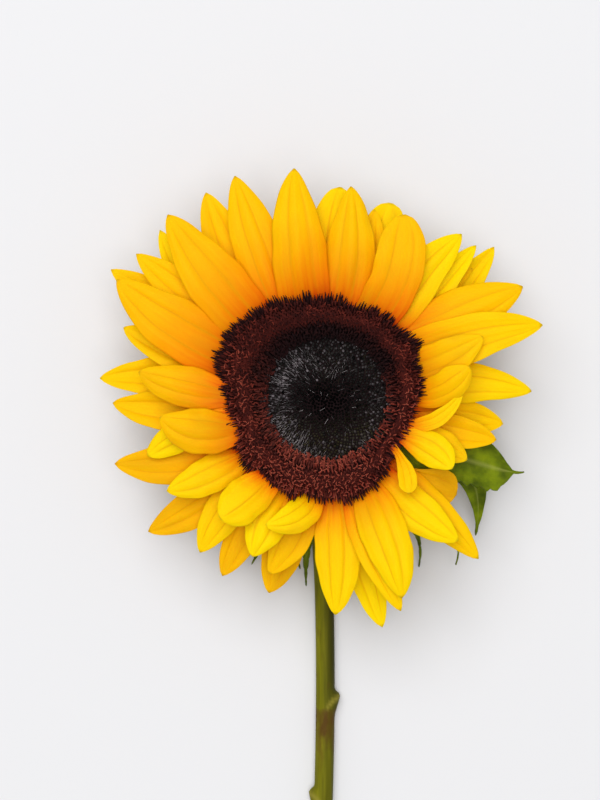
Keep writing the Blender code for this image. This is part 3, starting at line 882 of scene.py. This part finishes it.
def makeBract(name, row, material):
    footAt, tipAt, reach, tipHeight, width, bow, shoulder, tail, toothed = row
    values = bractValues
    lower = values["lowFoot"] if tipHeight < values["lowTip"] else 0
    foot = aroundHead(footAt, values["footRadius"], values["footHeight"] - lower)
    tip = aroundHead(tipAt, reach * mm, tipHeight * mm)
    knee = bladeKnee(foot, tip, math.radians(values["droop"]), bow * mm)
    piece = addPrimitive("grid", x_subdivisions=values["rows"], y_subdivisions=values["columns"], size=2)
    flat = vertexPlaces(piece)
    s, u = (flat[:, 0] + 1) / 2, flat[:, 1]
    lowerSide = toothed * (u < 0)
    halfWidth = width * mm / 2 * bractShare(s, shoulder + 0.1 * lowerSide, tail, 1.3 + lowerSide)
    notch = (s * values["teeth"]) % 1 - 0.5
    teeth = values["toothDepth"] * toothed * notch * (u < -0.9) * (s > 0.5) * (s < tail)
    relief = -values["midrib"] * np.exp(-(u / values["midribWidth"]) ** 2) * (1 - s)
    veins = np.cos((np.abs(u) * 1.6 - s * 3) * 2 * math.pi * 1.5)
    relief = relief + values["veinHeight"] * veins * smoothStep(0.05, 0.3, np.abs(u)) * np.sin(math.pi * s)
    places = bladePlaces(foot, knee, tip, s, u, halfWidth * (1 + teeth), 0, values["cup"], relief)
    hook, hookStart = tailHooks.get(name, (0, 0.9))
    sideways = unit(np.array([tip[1] - foot[1], foot[0] - tip[0], 0.0]))
    places += np.outer(hook * mm * np.clip((s - hookStart) / (1 - hookStart), 0, 1) ** 2, sideways)
    setVertexPlaces(piece, places)
    setTones(piece, "leafTone", (np.exp(-(u / 0.08) ** 2), s, 0.5))
    applyModifier(piece, "SOLIDIFY", thickness=values["thickness"], offset=0)
    nodes = (name,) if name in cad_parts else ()
    return finishPiece(piece, "green_" + name, material, nodes)


def leafMaterial():
    # bract: a firm green leaf with fine hairs, veins 1.5 mm apart, paler along its midrib, partly its own
    # colour and partly a painted highlight
    material, tree, shader, parts = newMaterial(
        "hairyBractLeaf", "leafTone", Roughness=0.6, IOR=1.4, Specular_IOR_Level=0.12,
        Sheen_Weight=0.02, Subsurface_Weight=0.1, Subsurface_Scale=1 * mm)
    shader.inputs["Subsurface Radius"].default_value = (0.5, 1.0, 0.2)
    place = addNode(tree, "TexCoord").outputs["Object"]
    patch = addNode(tree, "TexNoise", {"Scale": 160.0, "Detail": 3.0}, {"Vector": place})
    skin = addNode(tree, "ValToRGB", links={"Fac": patch},
                   stops=[(0.3, "3E4C03"), (0.5, "5E6E04"), (0.7, "7C8C08")])
    # a paler midrib: partly the leaf's own colour and partly a painted highlight along the fold
    ribShare = addNode(tree, "Math", {"operation": "MULTIPLY", 1: 0.5}, {0: parts.outputs["Red"]})
    ribbed = addNode(tree, "Mix",
                     {"data_type": "RGBA", 7: hexColour("949A48")}, {"Factor": ribShare, 6: skin})
    tree.links.new(ribbed.outputs[2], shader.inputs["Base Color"])
    grit = addNode(tree, "TexNoise", {"Scale": 1400.0, "Detail": 2.0}, {"Vector": place})
    bump = addNode(tree, "Bump", {"Strength": 0.4, "Distance": 0.2 * mm}, {"Height": grit})
    tree.links.new(bump.outputs[0], shader.inputs["Normal"])
    return material


receptacleValues = {
    "segments": 120,
    "rings": 48,
    "ribs": 21,
    "ribDepth": 0.012,
}


def makeReceptacle(material):
    # the domed green back of the head: a ball, turned into a shallow bowl with a flat top
    values = receptacleValues
    piece = addPrimitive("uv_sphere", segments=values["segments"], ring_count=values["rings"], radius=1)
    places = vertexPlaces(piece)
    low = np.clip(-places[:, 2], -1, 1)
    angle = np.arctan2(places[:, 1], places[:, 0])
    depth = backHigh[2] - backLow[2]
    share = np.arccos(low) / math.pi
    radius = rimRadius * np.interp(share, (0, 0.06, 0.25, 0.42, 0.55, 0.62, 0.66, 1),
                                   (0, 0.2, 0.6, 0.86, 0.98, 1, 1, 0))
    height = backLow[2] + depth * np.interp(share, (0, 0.06, 0.25, 0.42, 0.55, 0.64, 0.66, 1),
                                            (0, 0.005, 0.16, 0.42, 0.62, 0.97, 1, 1))
    ribbed = smoothStep(0.08, 0.3, share) * (1 - smoothStep(0.55, 0.64, share))
    rib = 1 + values["ribDepth"] * (np.cos(angle * values["ribs"]) * ribbed - 1)
    x = headX + radius * rib * np.cos(angle)
    y = headY + radius * rib * np.sin(angle)
    setVertexPlaces(piece, np.stack([x, y, height], 1))
    setTones(piece, "leafTone", (0.0, 0.0, 0.5))
    finishPiece(piece, "green_receptacle", material, ("receptacle",))


def makeGreenParts():
    material = leafMaterial()
    makeReceptacle(material)
    for number, row in enumerate(bractRows, 1):
        makeBract(f"bract_{number:02d}", row, material)
    for number, row in enumerate(innerBractRows, 1):
        makeBract(f"inner_bract_{number}", row, material)
    print("receptacle and bracts done")


# the stem, which lies on the floor and bends up into the head
stemValues = {
    "radius": 3.35 * mm,
    "length": 299.9 * mm,
    "sway": 2.2 * mm,
    "swayLength": 165 * mm,
    "bendRadius": 16.5 * mm,
    "neckStart": 4.4 * mm,
    "neckRadius": 6.2 * mm,
    "neckTop": 23 * mm,
    "ribs": 9,
    "ribDepth": 0.05 * mm,
    "stubHeight": 1.8 * mm,
    "steps": 300,
    "bendSteps": 30,
}

# leaf stubs: distance from the head's axis in mm, the side, and how bruised the stem is below it
leafStubs = ((104.2, 1, 1.0), (138.2, -1, 0.35), (186, 1, 0.55), (231, -1, 0.3), (272, 1, 0.45))


def stemLine():
    values = stemValues
    points = []
    straight = values["length"] - values["bendRadius"]
    steps, bendSteps = values["steps"], values["bendSteps"]
    for i in range(steps + 1):
        share = i / steps
        sway = values["sway"] * math.sin(math.pi * straight * (1 - share) / values["swayLength"])
        grow = smoothStep(0.8, 1, share)
        radius = values["radius"] + (values["neckStart"] - values["radius"]) * grow
        points.append((headX + sway, headY - values["length"] + straight * share, radius, radius))
    middle = values["neckStart"] + values["bendRadius"]
    for i in range(1, bendSteps + 1):
        share = i / bendSteps
        angle = math.pi / 2 * share
        radius = values["neckStart"] + (values["neckRadius"] - values["neckStart"]) * share ** 1.5
        points.append((headX, headY - values["bendRadius"] * (1 - math.sin(angle)),
                       middle - values["bendRadius"] * math.cos(angle), radius))
    points.append((headX, headY, values["neckTop"], values["neckRadius"]))
    return points


def makeStem(material):
    values = stemValues
    line = stemLine()
    curve = bpy.data.curves.new("stemLine", "CURVE")
    curve.dimensions = "3D"
    curve.bevel_depth = 1
    curve.bevel_resolution = 10
    curve.use_fill_caps = True
    spline = curve.splines.new("POLY")
    spline.points.add(len(line) - 1)
    for point, (x, y, z, radius) in zip(spline.points, line):
        point.co = (x, y, z, 1)
        point.radius = radius
    piece = bpy.data.objects.new("stemLine", curve)
    bpy.context.scene.collection.objects.link(piece)
    selectOnly(piece)
    bpy.ops.object.convert(target="MESH")
    piece = bpy.context.object
    bpy.ops.object.mode_set(mode="EDIT")
    bpy.ops.mesh.select_all(action="SELECT")
    bpy.ops.mesh.remove_doubles(threshold=0.01 * mm)
    bpy.ops.mesh.normals_make_consistent(inside=False)
    bpy.ops.object.mode_set(mode="OBJECT")
    places = vertexPlaces(piece)
    centres = np.array([(x, y, z) for x, y, z, radius in line])
    nearest = np.argmin(((places[:, None, :] - centres[None, :, :]) ** 2).sum(2), axis=1)
    centre = centres[nearest]
    spoke = places - centre
    around = np.arctan2(spoke[:, 2], spoke[:, 0])
    back = headY - places[:, 1]
    swell = values["ribDepth"] * (np.cos(around * values["ribs"] + places[:, 1] * 30) - 1)
    bruise = np.zeros(len(places))
    light = np.zeros(len(places))
    for distance, side, bruised in leafStubs:
        below = back / mm - distance
        across = np.cos(around) * side
        nub = smoothStep(-2.4, 0, below) * (1 - smoothStep(-1, 8.5, below)) * 1.1
        swell = swell + values["stubHeight"] * nub * np.clip(across, 0, 1) ** 3
        dark = smoothStep(3.2, 5.5, below) * (1 - smoothStep(11, 26, below))
        bruise = np.maximum(bruise, bruised * dark)
        # painted highlight: a pale band over the lit side of each leaf stub
        stubLightBand = np.exp(-((below - 0.5 - 4.6 * (1 - across)) / 1.1) ** 2)
        light = np.maximum(light, stubLightBand * smoothStep(-0.1, 0.4, across))
    size = np.linalg.norm(spoke, axis=1, keepdims=True)
    outward = np.where(size > 0.5 * mm, spoke / np.maximum(size, 1e-9), 0)
    along = np.abs(places[:, 1] - (headY - values["length"])) < 0.01 * mm
    places = places + outward * np.where(along, 0, swell)[:, None]
    places[:, 2] = np.maximum(places[:, 2], 0.02 * mm)
    setVertexPlaces(piece, places)
    # painted shade: one side of the stem is darker, as if the light came from the other, less so on the
    # stubs' painted highlight, and darkest near the head, whose shadow falls there
    dark = smoothStep(-0.7, 0.85, np.cos(around)) * (1 - 0.6 * light)
    dark = dark * (1 - 0.5 * smoothStep(92 * mm, 122 * mm, back))
    setTones(piece, "stemTone", (bruise, light, dark))
    finishPiece(piece, "green_stem", material, ("stem",))


def stemMaterial():
    # stem: a ribbed olive-green stalk, finely downy, with painted shade on one side and near the head,
    # a painted highlight on each leaf stub, and brown bruises under its leaf stubs
    material, tree, shader, parts = newMaterial(
        "downyStalk", "stemTone", Roughness=0.65, IOR=1.4, Specular_IOR_Level=0.12, Sheen_Weight=0.05)
    shader.inputs["Sheen Tint"].default_value = hexColour("D8DCB0")
    place = addNode(tree, "TexCoord").outputs["Object"]
    fibreMap = addNode(tree, "Mapping",
                       {"Scale": (900.0, 60.0, 900.0)}, {"Vector": place})
    fibre = addNode(tree, "TexNoise", {"Scale": 1.0, "Detail": 3.0}, {"Vector": fibreMap})
    lit = addNode(tree, "ValToRGB", links={"Fac": fibre},
                  stops=[(0.25, "5C5A06"), (0.5, "6C6A0A"), (0.75, "7E7A10")])
    # painted shade on one side of the stalk
    shaded = addNode(tree, "Mix", {"data_type": "RGBA", 7: hexColour("363508")},
                     {"Factor": parts.outputs["Blue"], 6: lit})
    patchMap = addNode(tree, "Mapping",
                       {"Scale": (260.0, 110.0, 260.0)}, {"Vector": place})
    patch = addNode(tree, "TexNoise", {"Scale": 1.0, "Detail": 4.0}, {"Vector": patchMap})
    edge = addNode(tree, "Math", {"operation": "MULTIPLY_ADD", 1: 2.2, 2: -1.15}, {0: patch})
    reach = addNode(tree, "Math", {"operation": "ADD"}, {0: edge, 1: parts.outputs["Red"]})
    bruiseShare = addNode(tree, "MapRange",
                          {"From Min": 0.2, "From Max": 0.95, "To Max": 0.95}, {"Value": reach})
    bruised = addNode(tree, "Mix", {"data_type": "RGBA", 7: hexColour("523812")},
                      {"Factor": bruiseShare, 6: shaded.outputs[2]})
    # painted highlight on the leaf stubs
    stubLightShare = addNode(tree, "Math", {"operation": "MULTIPLY", 1: 0.6}, {0: parts.outputs["Green"]})
    stubLit = addNode(tree, "Mix", {"data_type": "RGBA", 7: hexColour("948838")},
                      {"Factor": stubLightShare, 6: bruised.outputs[2]})
    tree.links.new(stubLit.outputs[2], shader.inputs["Base Color"])
    bump = addNode(tree, "Bump", {"Strength": 0.35, "Distance": 0.2 * mm}, {"Height": fibre})
    tree.links.new(bump.outputs[0], shader.inputs["Normal"])
    return material


# floor, lights and camera; the lights' places are from the head, in metres
stageValues = {
    "floorSize": 12.0,
    "cameraDistance": 740 * mm,
    "cameraShiftX": -6.67 * mm,
    "cameraShiftY": -0.33 * mm,
    "cameraAim": 45 * mm,
    "frameHeight": 266.7 * mm,
    "sensorWidth": 36,
    "keyPlace": (-0.4, 0.85, 2.3),
    "keySize": 2.2,
    "keyPower": 40.0,
    "fillPlace": (0.1, -0.25, 2.8),
    "fillSize": 1.6,
    "fillPower": 29.0,
    "skyStrength": 0.4,
}


def addAreaLight(name, place, aim, size, power):
    light = bpy.data.lights.new(name, "AREA")
    light.shape = "DISK"
    light.size = size
    light.energy = power
    lamp = bpy.data.objects.new(name, light)
    lamp.location = place
    lamp.rotation_euler = (Vector(aim) - Vector(place)).to_track_quat("-Z", "Y").to_euler()
    bpy.context.scene.collection.objects.link(lamp)


def makeStage():
    values = stageValues
    floor = addPrimitive("plane", size=values["floorSize"])
    floor.name = "paleFloor"
    material, _, shader, _ = newMaterial("paleMattePaper", Roughness=0.9)
    shader.inputs["Base Color"].default_value = hexColour("DDDDDF")
    floor.data.materials.append(material)
    head = Vector((headX, headY, values["cameraAim"]))
    for name in ("key", "fill"):
        place = head + Vector(values[name + "Place"])
        addAreaLight(name + "Light", place, head, values[name + "Size"], values[name + "Power"])
    world = bpy.data.worlds.new("softSky")
    world.use_nodes = True
    sky = world.node_tree.nodes["Background"]
    sky.inputs["Color"].default_value = hexColour("FFFFFF")
    sky.inputs["Strength"].default_value = values["skyStrength"]
    bpy.context.scene.world = world
    bpy.context.scene.view_settings.view_transform = "Standard"
    data = bpy.data.cameras.new("cameraAbove")
    data.sensor_width = values["sensorWidth"]
    data.lens = values["sensorWidth"] * values["cameraDistance"] / values["frameHeight"]
    data.clip_end = 20
    camera = bpy.data.objects.new("cameraAbove", data)
    camera.location = (headX + values["cameraShiftX"], headY + values["cameraShiftY"],
                       values["cameraAim"] + values["cameraDistance"])
    bpy.context.scene.collection.objects.link(camera)
    bpy.context.scene.camera = camera
    print("stage done")


makeStage()
makePetals()
florets = openFloretMaterial()
makeDiscBed(florets)
makeOpenFlorets(florets)
makeClosedFlorets(closedFloretMaterial())
makeGreenParts()
makeStem(stemMaterial())
